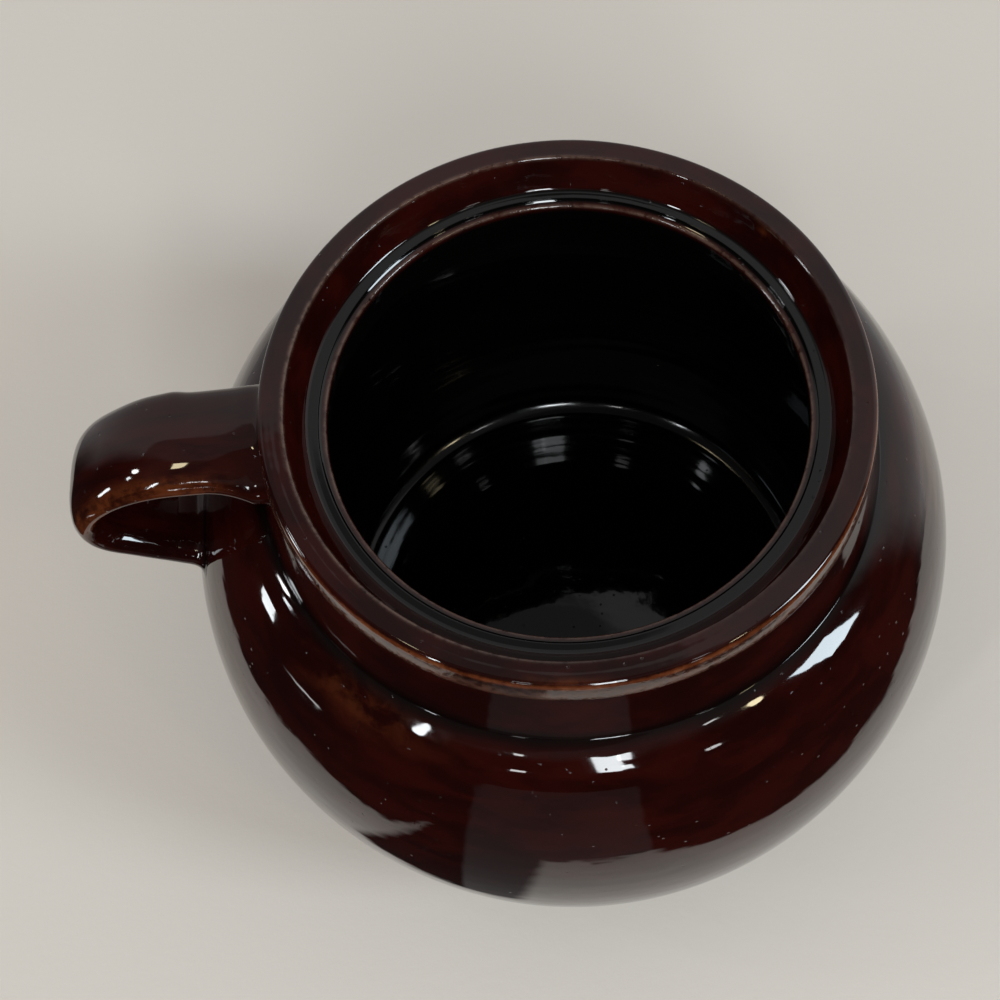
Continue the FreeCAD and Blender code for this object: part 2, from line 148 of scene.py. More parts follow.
def bezier(a, b, c, d, count):
    """A cubic curve from a to d, pulled towards b and c."""
    t = np.linspace(0.0, 1.0, count)[:, None]
    a, b, c, d = (np.array(p, float) for p in (a, b, c, d))
    return a * (1 - t) ** 3 + 3 * b * t * (1 - t) ** 2 + 3 * c * t ** 2 * (1 - t) + d * t ** 3


def lengths(points):
    """The distance along a run of points, at each of them."""
    steps = np.linalg.norm(np.diff(points, axis=0), axis=1)
    return np.concatenate(([0.0], np.cumsum(steps)))


def trimmed(points, from_start, from_end):
    """A run of points shortened at both ends."""
    along = lengths(points)
    keep = (along > from_start + 1e-6) & (along < along[-1] - from_end - 1e-6)
    ends = (from_start, along[-1] - from_end)
    cut = [np.array([np.interp(e, along, points[:, k]) for k in range(2)]) for e in ends]
    return np.vstack((cut[0], points[keep], cut[1]))


def rounded_section(legs, rounds, corner_points=7):
    """Legs joined end to start, with each corner between them rounded.

    rounds[k] is the radius between leg k and leg k + 1, or 0 where they run smoothly on.
    Returns the points and the distance along them of each corner.
    """
    cuts = []
    for before, after, radius in zip(legs, legs[1:], rounds):
        into = before[-1] - before[-2]
        out = after[1] - after[0]
        into, out = into / np.linalg.norm(into), out / np.linalg.norm(out)
        turn = math.acos(max(-1.0, min(1.0, float(into @ out))))
        cuts.append((radius * math.tan(turn / 2.0), turn))
    runs = [trimmed(leg, cuts[k - 1][0] if k else 0.0, cuts[k][0] if k < len(cuts) else 0.0)
            for k, leg in enumerate(legs)]
    points, corners = [runs[0]], []
    for k, radius in enumerate(rounds):
        a, d = runs[k][-1], runs[k + 1][0]
        middle = sum(len(run) for run in points)
        if radius > 0.0:
            into = runs[k][-1] - runs[k][-2]
            out = runs[k + 1][1] - runs[k + 1][0]
            reach = radius * 4.0 / 3.0 * math.tan(cuts[k][1] / 4.0)
            bend = bezier(a, a + into / np.linalg.norm(into) * reach,
                          d - out / np.linalg.norm(out) * reach, d, corner_points)[1:-1]
            points.append(bend)
            middle += len(bend) // 2
        corners.append(middle)
        points.append(runs[k + 1] if radius > 0.0 else runs[k + 1][1:])
    points = np.vstack(points)
    along = lengths(points)
    return points, along, [along[k] for k in corners]


def smooth_step(value, low, high):
    t = np.clip((value - low) / (high - low), 0.0, 1.0)
    return t * t * (3.0 - 2.0 * t)


def window(value, rise_from, rise_to, fall_from, fall_to):
    """1 between two places, faded in before the first and out after the second."""
    return smooth_step(value, rise_from, rise_to) * smooth_step(-value, -fall_to, -fall_from)


def bump_at(value, place, width):
    return np.exp(-((value - place) / width) ** 2)


DRIFT_WAVES = 7


def drift(seed, turns, rises, angle, length):
    """A gentle wander, about -1 to 1, from a few waves that close round the pot.

    turns is the range of whole waves in a turn, rises the range of radians per millimetre.
    """
    draw = np.random.default_rng(seed)
    total = np.zeros(np.broadcast(angle, length).shape)
    for _ in range(DRIFT_WAVES):
        round_waves = draw.integers(turns[0], turns[1] + 1)
        rise = draw.uniform(rises[0], rises[1]) * draw.choice((-1.0, 1.0))
        total += np.sin(round_waves * angle + rise * length + draw.uniform(0.0, TURN))
    return total / math.sqrt(DRIFT_WAVES)


# ---------------------------------------------------------------------------------------------
# Meshes
# ---------------------------------------------------------------------------------------------
def grid_faces(rows, columns):
    """Quads between neighbouring rows of points; each row is a closed ring."""
    faces = []
    for i in range(rows - 1):
        here, there = i * columns, (i + 1) * columns
        for k in range(columns):
            m = (k + 1) % columns
            faces.append((here + k, here + m, there + m, there + k))
    return faces


def make_piece(name, points, faces, replaced):
    """A smooth mesh on the pot's one body, in place of the CAD nodes that it replaces."""
    mesh = bpy.data.meshes.new(name)
    mesh.from_pydata((points * MM).tolist(), [], faces)
    mesh.validate()
    mesh.polygons.foreach_set("use_smooth", [True] * len(mesh.polygons))
    mesh.update()
    piece = bpy.data.objects.new(name, mesh)
    bpy.context.scene.collection.objects.link(piece)
    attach(piece, "root")
    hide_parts(*replaced)
    return piece


def store(piece, name, values, kind="FLOAT"):
    """A value for each vertex, which the glaze reads."""
    layer = piece.data.attributes.new(name, kind, "POINT")
    field = "vector" if kind == "FLOAT_VECTOR" else "value"
    layer.data.foreach_set(field, np.asarray(values, np.float32).ravel())


# ---------------------------------------------------------------------------------------------
# The pot
# ---------------------------------------------------------------------------------------------
AROUND = 360
CORNERS = (
    ("recess", 0.8), ("foot_inner", 0.8), ("foot_outer", 0.9), ("widest", 0.0),
    ("shoulder", 0.0), ("crease", 0.45), ("neck_top", 1.0), ("collar", 1.0), ("rim", 1.6),
    ("opening", 0.9), ("seat_outer", 1.2), ("seat_inner", 0.5), ("lip", 0.4), ("mouth", 1.0),
    ("mouth_foot", 1.0), ("throat", 1.2), ("throat_end", 0.0), ("inner_widest", 0.0),
    ("cove", 0.0), ("floor", 0.0),
)
# Bands along the section: corner, offset from it, half width, strength. Amber and dull are edges
# that the glaze has drawn back from, and pooled are hollows that it has run into.
AMBER_EDGES = (("rim", -0.9, 0.85, 0.74), ("collar", 2.4, 2.4, 0.30))
DULL_EDGES = (
    ("collar", 2.2, 2.4, 0.42), ("opening", 0.0, 0.50, 0.80), ("mouth", -0.3, 0.50, 0.62),
)
POOLED_HOLLOWS = (
    ("crease", 0.0, 2.4, 0.85), ("neck_top", 0.0, 1.8, 0.9), ("recess", 0.0, 1.2, 0.5),
)
# Towards which turn an edge is most worn, and how much of that is left on the far side of it
AMBER_MIDDLE, AMBER_LEFT = -62.0, 0.06
OPENING_MIDDLE, OPENING_LEFT = 165.0, 0.22
WEAR_REACH = 2.6
MATT_WALL, MATT_COVE, MATT_COVE_WIDTH = 0.10, 0.24, 6.0
# Warm places, where it ran thin: turn about the axis, offset from a corner, half sizes, strength
WARM_PLACES = (
    (-131.0, "crease", -6.5, 11.0, 4.5, 0.60), (-4.0, "shoulder", -9.0, 10.0, 14.0, 0.45),
    (38.0, "opening", 3.2, 1.6, 2.6, 0.9), (-96.0, "rim", 0.9, 6.0, 0.8, 0.8),
    (-172.0, "widest", 12.0, 16.0, 9.0, 0.30), (95.0, "widest", 6.0, 14.0, 12.0, 0.35),
)


def pot_section():
    """The turned section from the middle of the underside, up the outside and down the inside."""
    lower_centre = swell_centre(BELLY, FOOT_OUTER)
    joint, shoulder_centre = shoulder()
    belly_centre = swell_centre(BELLY, joint)
    inside_belly = (BELLY[0] - WALL, BELLY[1])
    inside_centre = swell_centre(inside_belly, THROAT_END)
    cove_centre, cove_end = cove()
    cove_foot = (cove_centre[0], FLOOR_Z)
    legs = (
        line((0.0, RECESS_EDGE[1]), RECESS_EDGE, 3.0),
        line(RECESS_EDGE, FOOT_INNER),
        line(FOOT_INNER, FOOT_OUTER),
        arc(lower_centre, FOOT_OUTER, BELLY, 0.9),
        arc(belly_centre, BELLY, joint, 0.8),
        arc(shoulder_centre, joint, CREASE, 0.5),
        line(CREASE, NECK_TOP, 0.6),
        line(NECK_TOP, COLLAR_EDGE, 0.3),
        crowned(COLLAR_EDGE, RIM_EDGE, COLLAR_CROWN),
        line(RIM_EDGE, OPENING_EDGE, 0.3),
        line(OPENING_EDGE, SEAT_OUTER, 0.5),
        line(SEAT_OUTER, SEAT_INNER, 0.3),
        line(SEAT_INNER, LIP, 0.2),
        line(LIP, MOUTH_TOP, 0.2),
        line(MOUTH_TOP, MOUTH_BOTTOM, 0.5),
        line(MOUTH_BOTTOM, THROAT_TOP, 0.5),
        line(THROAT_TOP, THROAT_END, 0.8),
        arc(inside_centre, THROAT_END, inside_belly, 0.9),
        arc(lower_centre, inside_belly, cove_end, 0.9),
        arc(cove_centre, cove_end, cove_foot, 0.5),
        line(cove_foot, (0.0, FLOOR_Z), 0.9),
    )
    points, along, places = rounded_section(legs, [radius for _, radius in CORNERS])
    return points, along, {name: place for (name, _), place in zip(CORNERS, places)}


def apart(angle, other):
    """How far two angles are apart, in degrees."""
    return np.abs((np.degrees(angle) - other + 180.0) % 360.0 - 180.0)


# The turned surface's unevenness: depths into the true section, never out of it, and pitches
SINK_EVERYWHERE = 0.05
SINK_SLOW, SLOW_INSIDE, SLOW_LIMIT = 0.16, 0.6, 1.6
RINGS_OUTSIDE, RINGS_INSIDE = (0.005, 0.002), (0.022, 0.005)    # throwing rings, and finer ones
RING_PITCH, FINE_PITCH = 5.2, 2.3
SINK_DENTS, DENT_LIMIT = 0.008, 2.0
SINK_RIM_LINES, RIM_LINE_PITCH = 0.012, 1.7
CALM_RADIUS = 30.0                          # the unevenness dies out from here to the axis
FLOOR_RINGS, FLOOR_EDGE = 0.12, 58.0        # share of the rings on the inner floor, and its edge
STREAK_RADIUS = 30.0                        # less than the pot's, so that streaks run round it


def inside_share(along, marks):
    """0 outside and 1 inside, eased over the throat."""
    return smooth_step(along, marks["throat"], marks["throat"] + 14.0)


def pot_sink(radius, along, marks, angle):
    """How far the surface lies inside the true section, for each row and turn."""
    outer = smooth_step(along, marks["foot_outer"] + 4.0, marks["foot_outer"] + 16.0)
    inner = inside_share(along, marks)
    flat_top = window(along, marks["rim"] + 1.6, marks["rim"] + 2.4,
                      marks["opening"] - 1.6, marks["opening"] - 0.9)
    outside = outer * (1 - inner)
    off_floor = smooth_step(radius, CALM_RADIUS, FLOOR_EDGE)
    inside = inner * (FLOOR_RINGS + (1.0 - FLOOR_RINGS) * off_floor)
    a, s = angle[None, :], along[:, None]
    slow = np.clip(drift(3, (1, 5), (0.02, 0.09), a, s), -SLOW_LIMIT, SLOW_LIMIT)
    slow = 0.5 + 0.5 * slow / SLOW_LIMIT
    rings = np.sin(TURN * s / RING_PITCH + a + 1.3 * drift(5, (1, 3), (0.05, 0.1), a, s))
    fine = np.sin(TURN * s / FINE_PITCH - a + 1.1 * drift(7, (1, 4), (0.05, 0.2), a, s))
    dents = np.clip(drift(11, (5, 17), (0.1, 0.35), a, s), -DENT_LIMIT, DENT_LIMIT)
    rim_lines = 1 + np.sin(TURN * s / RIM_LINE_PITCH + a)
    sink = SINK_EVERYWHERE + SINK_SLOW * slow * (outer + SLOW_INSIDE * inner)[:, None]
    for share, (ring_depth, fine_depth) in ((outside, RINGS_OUTSIDE), (inside, RINGS_INSIDE)):
        sink = sink + (ring_depth * rings + fine_depth * fine) * share[:, None]
    sink = sink + SINK_DENTS * dents * outer[:, None]
    sink = sink + SINK_RIM_LINES * rim_lines * flat_top[:, None]
    return sink * smooth_step(radius, 0.0, CALM_RADIUS)[:, None]


def gathered(bands, along, marks):
    """The strongest of several bands along the section, as a column."""
    total = np.zeros(len(along))
    for corner, offset, width, strength in bands:
        total = np.maximum(total, strength * bump_at(along, marks[corner] + offset, width))
    return total[:, None]


def worn_round(angle, along, place, middle, left):
    """1, but near a place along the section it falls to what is left, away from the worn turn."""
    share = left + (1.0 - left) * smooth_step(np.cos(angle - math.radians(middle)), -0.45, 0.45)
    return 1.0 - bump_at(along, place, WEAR_REACH) * (1.0 - share)


def pot_layers(along, marks, angle):
    """What the glaze reads, for each row and turn."""
    a, s = angle[None, :], along[:, None]
    # Near black on the lid's seat
    seat = window(along, marks["seat_outer"] - 0.7, marks["seat_outer"] + 0.3,
                  marks["mouth"] - 1.6, marks["mouth"] - 0.9)
    # Painted shade: the whole inside, from the mouth down, is made near black
    inside = smooth_step(along, marks["mouth"] + 0.6, marks["mouth"] + 1.8)
    matt = MATT_WALL * window(along, marks["mouth_foot"], marks["throat"] + 4.0,
                              marks["floor"] - 1.0, marks["floor"] + 1.0)
    corner_middle = (marks["cove"] + marks["floor"]) / 2
    matt = np.maximum(matt, MATT_COVE * bump_at(along, corner_middle, MATT_COVE_WIDTH))
    warm = np.zeros((len(along), len(angle)))
    for turn, corner, offset, half_turn, half_length, strength in WARM_PLACES:
        spot = np.exp(-(apart(a, turn) / half_turn) ** 2
                      - ((s - marks[corner] - offset) / half_length) ** 2)
        warm = np.maximum(warm, strength * spot)
    return {
        "thin": gathered(AMBER_EDGES, along, marks)
        * worn_round(a, s, marks["rim"], AMBER_MIDDLE, AMBER_LEFT),
        "dull": gathered(DULL_EDGES, along, marks)
        * worn_round(a, s, marks["opening"], OPENING_MIDDLE, OPENING_LEFT),
        # Near black: glaze pooled in the hollows, the lid's seat, and painted shade over the whole
        # inside
        "pool_and_shade": np.maximum(gathered(POOLED_HOLLOWS, along, marks),
                           np.maximum(seat, inside)[:, None]),
        "warm": warm,
        "matt": matt[:, None],
        "bare": smooth_step(-s, -marks["foot_outer"] - 1.2, -marks["foot_outer"]),
    }


def make_pot():
    points, along, marks = pot_section()
    tangent = np.gradient(points, axis=0)
    tangent /= np.linalg.norm(tangent, axis=1)[:, None]
    normal = np.stack((tangent[:, 1], -tangent[:, 0]), 1)
    radius, height = points.T
    angle = np.arange(AROUND) * TURN / AROUND
    sink = pot_sink(radius, along, marks, angle)
    r = radius[:, None] - normal[:, :1] * sink
    z = height[:, None] - normal[:, 1:] * sink
    a = angle[None, :]
    rings = np.stack((r * np.cos(a), r * np.sin(a), z), 2)

    # The first and last rows stand on the axis, and each becomes one point there
    ends = np.array(((0.0, 0.0, points[0, 1]), (0.0, 0.0, points[-1, 1])))
    body = rings[1:-1].reshape(-1, 3)
    rows = len(points) - 2
    faces = grid_faces(rows, AROUND)
    under, top = len(body), len(body) + 1
    for k in range(AROUND):
        m = (k + 1) % AROUND
        faces.append((m, k, under))
        faces.append(((rows - 1) * AROUND + k, (rows - 1) * AROUND + m, top))
    pot = make_piece("glazed_pot", np.vstack((body, ends)), faces,
                     ["pot_body"])

    for name, values in pot_layers(along, marks, angle).items():
        field = np.broadcast_to(values, r.shape)
        store(pot, name, np.concatenate((field[1:-1].ravel(), (field[0, 0], field[-1, 0]))))
    # Where the streaks are looked up: drawn out round the pot, and smooth over the axis
    turned = STREAK_RADIUS * smooth_step(radius, 0.0, CALM_RADIUS)[:, None]
    eased = along + (1.0 - 2.0 * inside_share(along, marks)) * (np.hypot(radius, 6.0) - radius)
    thrown = np.broadcast_arrays(np.cos(a) * turned, np.sin(a) * turned, eased[:, None])
    thrown = np.stack(thrown, 2) * MM
    store(pot, "thrown", np.vstack((thrown[1:-1].reshape(-1, 3), thrown[0, 0], thrown[-1, 0])),
          "FLOAT_VECTOR")
    return pot


# ---------------------------------------------------------------------------------------------
# The handle
# ---------------------------------------------------------------------------------------------
STRAP_START = (72.0, 139.0)
STRAP_BEND = (89.0, 139.0)
TOP_BEND_RADIUS = 27.0
END_BEND_REACH, END_BEND_RADIUS = 103.0, 11.0
STRAP_END = (95.45, 101.5)
HALF_WIDTH, HALF_FLAT, HALF_EDGE, HALF_CROWN = 12.8, 10.0, 3.0, 4.3
SECTION_POINTS = 72
SOFTENINGS = 40                             # passes that round the section's corners
LOWER_FROM, LOWER_FADE = 44.0, 12.0         # along the strap, where its lower return begins


def strap_path():
    """The strap's middle line from the collar round to the belly, in (outward, up)."""
    top_centre = np.array((STRAP_BEND[0], STRAP_BEND[1] - TOP_BEND_RADIUS))
    gap, ahead = TOP_BEND_RADIUS - END_BEND_RADIUS, END_BEND_REACH - STRAP_BEND[0]
    link = np.array((ahead, math.sqrt(gap ** 2 - ahead ** 2)))
    outer_centre = top_centre + link
    meeting = top_centre + link / np.linalg.norm(link) * TOP_BEND_RADIUS
    to_bend = outer_centre - np.array(STRAP_END)
    lean = math.atan2(to_bend[1], to_bend[0]) \
        - math.asin(END_BEND_RADIUS / np.linalg.norm(to_bend))
    leave = outer_centre + END_BEND_RADIUS * np.array((math.sin(lean), -math.cos(lean)))
    return np.vstack((
        line(STRAP_START, STRAP_BEND, 0.6)[:-1],
        arc(top_centre, STRAP_BEND, meeting, 0.6)[:-1],
        arc(outer_centre, meeting, leave, 0.5)[:-1],
        line(leave, STRAP_END, 0.6),
    ))


def strap_section():
    """The strap's section: (across, out of the top face), evenly spaced points on round edges."""
    def through(start, crest, end):
        start, crest, end = (np.array(p, float) for p in (start, crest, end))
        t = np.linspace(0.0, 1.0, 60)[:, None]
        return start * (1 - t) * (1 - 2 * t) + crest * 4 * t * (1 - t) + end * t * (2 * t - 1)

    w, f, e, c = HALF_WIDTH, HALF_FLAT, HALF_EDGE, HALF_CROWN
    sides = (through((0.0, c), (f * 0.55, c * 0.925), (f, e)), through((f, e), (w, 0.0), (f, -e)),
             through((f, -e), (0.0, -c), (-f, -e)), through((-f, -e), (-w, 0.0), (-f, e)),
             through((-f, e), (-f * 0.55, c * 0.925), (0.0, c)))
    outline = np.vstack([side[:-1] for side in sides])
    # Soften the corners between faces and edges
    smooth = outline.copy()
    for _ in range(SOFTENINGS):
        smooth = 0.5 * smooth + 0.25 * (np.roll(smooth, 1, 0) + np.roll(smooth, -1, 0))
    closed = np.vstack((smooth, smooth[:1]))
    along = lengths(closed)
    want = np.linspace(0.0, along[-1], SECTION_POINTS + 1)[:-1]
    even = np.stack([np.interp(want, along, closed[:, k]) for k in range(2)], 1)
    return even * (w / np.abs(even[:, 0]).max(), 1.0)


FLARE_STEPS = 9
BLEND_RISE, BLEND_LENGTH = 0.3, 6.0         # where the far half of the top runs up into the rim
FAR_SPREAD, FAR_SPREAD_END = 0.9, 34.0      # how much wider the far edge is above the bend
FAR_SPREAD_FADE = 14.0
BUMP_PLACE, BUMP_WIDTH, BUMP_HEIGHT = 17.5, 2.4, 0.4    # a small lump on the far edge
NEAR_SPREAD, NEAR_DROOP, NEAR_END = 2.2, 2.5, 11.0      # the near edge widens and sinks up there
FLARE_SIDE, FLARE_BELOW, FLARE_LOWER_END = 3.2, 2.6, 2.2
FLARE_NEAR_TOP, FLARE_FAR_TOP = 0.4, 1.8
FAR_HALF = (-4.0, 9.0)                      # across the strap, where its near half becomes the far
EVEN_END = 6.0                              # the unevenness dies out over this at both ends
STRAP_SINK, STRAP_KNEAD, STRAP_THIN = 0.010, 0.004, 0.12    # two shares of the section, and mm
FLARE_START, FLARE_LAND, FLARE_LAND_MOST = 0.55, 0.5, 0.85  # how far its curve is pulled
SUNK_RINGS = ((0.35, 0.25), (0.2, 1.0))     # on along the pot's surface, and down under it
RAY_BACK, NORMAL_SMOOTHINGS = 6.0, 6
# Where the glaze ran thin on the strap's edges: across it and half width, then how much
NEAR_EDGE, FAR_EDGE, FAR_EDGE_SHARE = (-12.0, 3.2), (12.2, 1.4), 0.10
EDGE_THIN, EDGE_WARM = 0.36, 0.40
STREAK_LENGTH = 0.22                        # less than 1, so that streaks run along the strap


def top_side(direction):
    """Out of the strap's top face, square to the way it runs."""
    return -np.array((direction[1], -direction[0]))


def placed(outward_up, across):
    """From (outward, up) and across to the frame: outward is -X, across is Y."""
    u, z = outward_up[..., 0], outward_up[..., 1]
    return np.stack(np.broadcast_arrays(-u, across, z), -1)


def strap_rings(path, along, tangent, section):
    """The section carried along the path, uneven as a pulled strap is."""
    x, y = section.T
    turn = np.arange(SECTION_POINTS)[None, :] * TURN / SECTION_POINTS
    wander = drift(21, (1, 3), (0.05, 0.16), turn, along[:, None])
    knead = drift(23, (2, 7), (0.15, 0.45), turn, along[:, None])
    far_top = smooth_step(x, *FAR_HALF) * smooth_step(y, 0.0, 2.5)
    far_side, near_side = (smooth_step(way * x, 3.0, HALF_WIDTH) for way in (1.0, -1.0))
    rings = []
    for k, (point, direction) in enumerate(zip(path, tangent)):
        from_end = min(along[k], along[-1] - along[k])
        away = smooth_step(from_end, 0.0, EVEN_END)
        shrink = 1.0 - away * (STRAP_SINK * (1 + wander[k]) + STRAP_KNEAD * (1 + knead[k]))
        wider = FAR_SPREAD * (1.0 - smooth_step(along[k], FAR_SPREAD_END - FAR_SPREAD_FADE,
                                                FAR_SPREAD_END))
        wider = wider + BUMP_HEIGHT * bump_at(along[k], BUMP_PLACE, BUMP_WIDTH)
        near = max(0.0, 1.0 - along[k] / NEAR_END) ** 2 * near_side
        blend = (1.0 - smooth_step(along[k], 0.0, BLEND_LENGTH)) ** 1.2
        across = x * shrink + wider * far_side - NEAR_SPREAD * near
        lift = y * shrink - STRAP_THIN * away * (1 + wander[k]) * np.sign(y)
        lift = lift - NEAR_DROOP * near + BLEND_RISE * blend * far_top
        rings.append(placed(point + top_side(direction) * lift[:, None], across))
    return rings


def flare_rings(ring, outward, inward, spread, tree):
    """Rings that carry a strap's end on to the pot's surface in a hollow curve.

    Each point runs inward from the strap and meets the pot its spread further out, along the
    surface. The last two rings are under the surface, so that no gap shows.
    """
    starts, walls, normals = [], [], []
    for point, out, wide in zip(ring, outward, spread):
        origin = Vector((point + out * wide - inward * RAY_BACK) * MM)
        place, normal, _, _ = tree.ray_cast(origin, Vector(inward))
        if place is None:
            raise RuntimeError("the strap's end misses the pot")
        starts.append(point)
        walls.append(np.array(place) / MM)
        normals.append(np.array(normal))
    starts, walls, normals = map(np.array, (starts, walls, normals))
    for _ in range(NORMAL_SMOOTHINGS):
        normals = 0.5 * normals + 0.25 * (np.roll(normals, 1, 0) + np.roll(normals, -1, 0))
    normals /= np.linalg.norm(normals, axis=1)[:, None]
    along_wall = outward - (outward * normals).sum(1)[:, None] * normals
    along_wall /= np.linalg.norm(along_wall, axis=1)[:, None]
    reach = np.linalg.norm(walls - starts, axis=1)[:, None]
    first = starts + inward * reach * FLARE_START
    landing = np.minimum(reach * FLARE_LAND, spread[:, None] * FLARE_LAND_MOST)
    second = walls - along_wall * landing
    rings = []
    for t in np.linspace(0.0, 1.0, FLARE_STEPS + 1)[1:]:
        rings.append(starts * (1 - t) ** 3 + 3 * first * t * (1 - t) ** 2
                     + 3 * second * t ** 2 * (1 - t) + walls * t ** 3)
    for on, down in SUNK_RINGS:
        rings.append(walls + along_wall * on - normals * down)
    return rings


def outward_of(direction, section):
    """Away from the strap's middle line, at each point of its section."""
    out = placed(top_side(direction) * section[:, 1:] / HALF_EDGE, section[:, 0] / HALF_WIDTH)
    return out / np.linalg.norm(out, axis=1)[:, None]


def make_handle(pot):
    tree = BVHTree.FromObject(pot, bpy.context.evaluated_depsgraph_get())
    path = strap_path()
    along = lengths(path)
    tangent = np.gradient(path, axis=0)
    tangent /= np.linalg.norm(tangent, axis=1)[:, None]
    section = strap_section()
    x, y = section.T
    rings = strap_rings(path, along, tangent, section)

    edge = np.clip((np.abs(x) - 6.0) / 6.0, 0.0, 1.0)
    above = FLARE_NEAR_TOP + (FLARE_FAR_TOP - FLARE_NEAR_TOP) * smooth_step(x, *FAR_HALF)
    spread_top = np.where(y > 0, above, FLARE_BELOW) * (1 - edge) + FLARE_SIDE * edge
    spread_low = FLARE_SIDE * edge + FLARE_LOWER_END * (1 - edge)
    into_neck = np.array((1.0, 0.0, 0.0))
    into_belly = np.array((-tangent[-1, 0], 0.0, tangent[-1, 1]))
    into_belly /= np.linalg.norm(into_belly)
    upper = flare_rings(rings[0], outward_of(tangent[0], section), into_neck, spread_top, tree)
    lower = flare_rings(rings[-1], outward_of(tangent[-1], section), into_belly, spread_low, tree)
    all_rings = list(reversed(upper)) + rings + lower
    rows = len(all_rings)
    faces = grid_faces(rows, SECTION_POINTS)
    # Close the ends, which lie under the pot's surface
    faces.append(tuple(reversed(range(SECTION_POINTS))))
    faces.append(tuple((rows - 1) * SECTION_POINTS + k for k in range(SECTION_POINTS)))
    handle = make_piece("glazed_handle", np.vstack(all_rings), faces,
                        ["handle", "upper_lute", "lower_lute"])

    # How far into a flare each row lies, and how far along the strap
    step = np.concatenate((np.arange(len(upper), 0, -1), np.zeros(len(rings)),
                           np.arange(1, len(lower) + 1))) / (FLARE_STEPS + 2.0)
    row_length = np.concatenate((np.full(len(upper), -2.0), along,
                                 np.full(len(lower), along[-1] + 2.0)))
    pooled = smooth_step(step, 0.15, 0.8)
    # Painted shade: the near half of the strap is made darker at the joints
    near_side = 1.0 - smooth_step(x, -2.0, 4.0)
    edges = bump_at(x, *NEAR_EDGE) * smooth_step(y, -3.4, -1.0) \
        + FAR_EDGE_SHARE * bump_at(x, *FAR_EDGE)
    body = (1.0 - smooth_step(step, 0.0, 0.5)) * (0.2 + 0.8 * smooth_step(row_length, -1.0, 13.0))
    body = body * (1.0 - 0.75 * smooth_step(row_length, LOWER_FROM, LOWER_FROM + LOWER_FADE))
    none = np.zeros((rows, SECTION_POINTS))
    layers = {
        "thin": body[:, None] * EDGE_THIN * edges[None, :],
        "dull": none,
        # Near black deep in the joints as pooled glaze, and more on the near side as painted shade
        "pool_and_shade": pooled[:, None] * (0.3 + 0.7 * near_side[None, :]),
        "warm": body[:, None] * EDGE_WARM * edges[None, :],
        "matt": none,
        "bare": none,
    }
    for name, values in layers.items():
        store(handle, name, values)
    thrown = np.broadcast_arrays(x[None, :], y[None, :], row_length[:, None] * STREAK_LENGTH)
    store(handle, "thrown", np.stack(thrown, 2) * MM, "FLOAT_VECTOR")
    return handle


# ---------------------------------------------------------------------------------------------
# Materials
# ---------------------------------------------------------------------------------------------
class Graph:
    """Shader nodes, made and joined by short calls."""

    def __init__(self, tree):
        self.tree = tree
        tree.nodes.clear()

    def add(self, kind, **settings):
        node = self.tree.nodes.new(kind)
        for key, value in settings.items():
            setattr(node, key, value)
        return node

    def feed(self, socket, value):
        if isinstance(value, bpy.types.NodeSocket):
            self.tree.links.new(value, socket)
        else:
            socket.default_value = value

    def attribute(self, name, output="Fac"):
        return self.add("ShaderNodeAttribute", attribute_name=name).outputs[output]

    def place(self, name="Object"):
        return self.add("ShaderNodeTexCoord").outputs[name]

    def noise(self, vector, scale, detail=3.0, roughness=0.5, distortion=0.0):
        node = self.add("ShaderNodeTexNoise")
        self.feed(node.inputs["Vector"], vector)
        node.inputs["Scale"].default_value = scale
        node.inputs["Detail"].default_value = detail
        node.inputs["Roughness"].default_value = roughness
        node.inputs["Distortion"].default_value = distortion
        return node.outputs["Fac"]

    def spots(self, vector, scale, outer, inner):
        """Sparse round spots, in some of a grid's cells, faded between two radii."""
        node = self.add("ShaderNodeTexVoronoi", feature="F1")
        self.feed(node.inputs["Vector"], vector)
        node.inputs["Scale"].default_value = scale
        kept = self.span(node.outputs["Color"], 0.60, 0.66)
        return self.times(self.span(node.outputs["Distance"], outer, inner), kept)

    def span(self, value, low, high, to_low=0.0, to_high=1.0):
        node = self.add("ShaderNodeMapRange", interpolation_type="SMOOTHSTEP")
        self.feed(node.inputs["Value"], value)
        for key, number in (("From Min", low), ("From Max", high), ("To Min", to_low),
                            ("To Max", to_high)):
            node.inputs[key].default_value = number
        return node.outputs[0]

    def math(self, operation, first, second=0.0, clamp=False):
        node = self.add("ShaderNodeMath", operation=operation, use_clamp=clamp)
        self.feed(node.inputs[0], first)
        self.feed(node.inputs[1], second)
        return node.outputs[0]

    def times(self, *factors):
        total = factors[0]
        for factor in factors[1:]:
            total = self.math("MULTIPLY", total, factor)
        return total

    def plus(self, *terms):
        total = terms[0]
        for term in terms[1:]:
            total = self.math("ADD", total, term)
        return total

    def vector(self, operation, first, second=(0.0, 0.0, 0.0), output="Vector"):
        node = self.add("ShaderNodeVectorMath", operation=operation)
        self.feed(node.inputs[0], first)
        self.feed(node.inputs[1], second)
        return node.outputs[output]

    def mix(self, factor, first, second):
        node = self.add("ShaderNodeMix", data_type="RGBA")
        self.feed(node.inputs["Factor"], factor)
        for socket, value in ((node.inputs[6], first), (node.inputs[7], second)):
            if isinstance(value, tuple):
                value = (*value, 1.0)
            self.feed(socket, value)
        return node.outputs[2]

    def bump(self, height, distance, below=None):
        node = self.add("ShaderNodeBump")
        node.inputs["Strength"].default_value = 1.0
        node.inputs["Distance"].default_value = distance
        self.feed(node.inputs["Height"], height)
        if below is not None:
            self.feed(node.inputs["Normal"], below)
        return node.outputs[0]

    def glossy_rays(self):
        return self.add("ShaderNodeLightPath").outputs["Is Glossy Ray"]


def new_material(name):
    """A material, its graph, its Principled shader and its output, not yet joined."""
    material = bpy.data.materials.new(name)
    material.use_nodes = True
    g = Graph(material.node_tree)
    return material, g, g.add("ShaderNodeBsdfPrincipled"), g.add("ShaderNodeOutputMaterial")


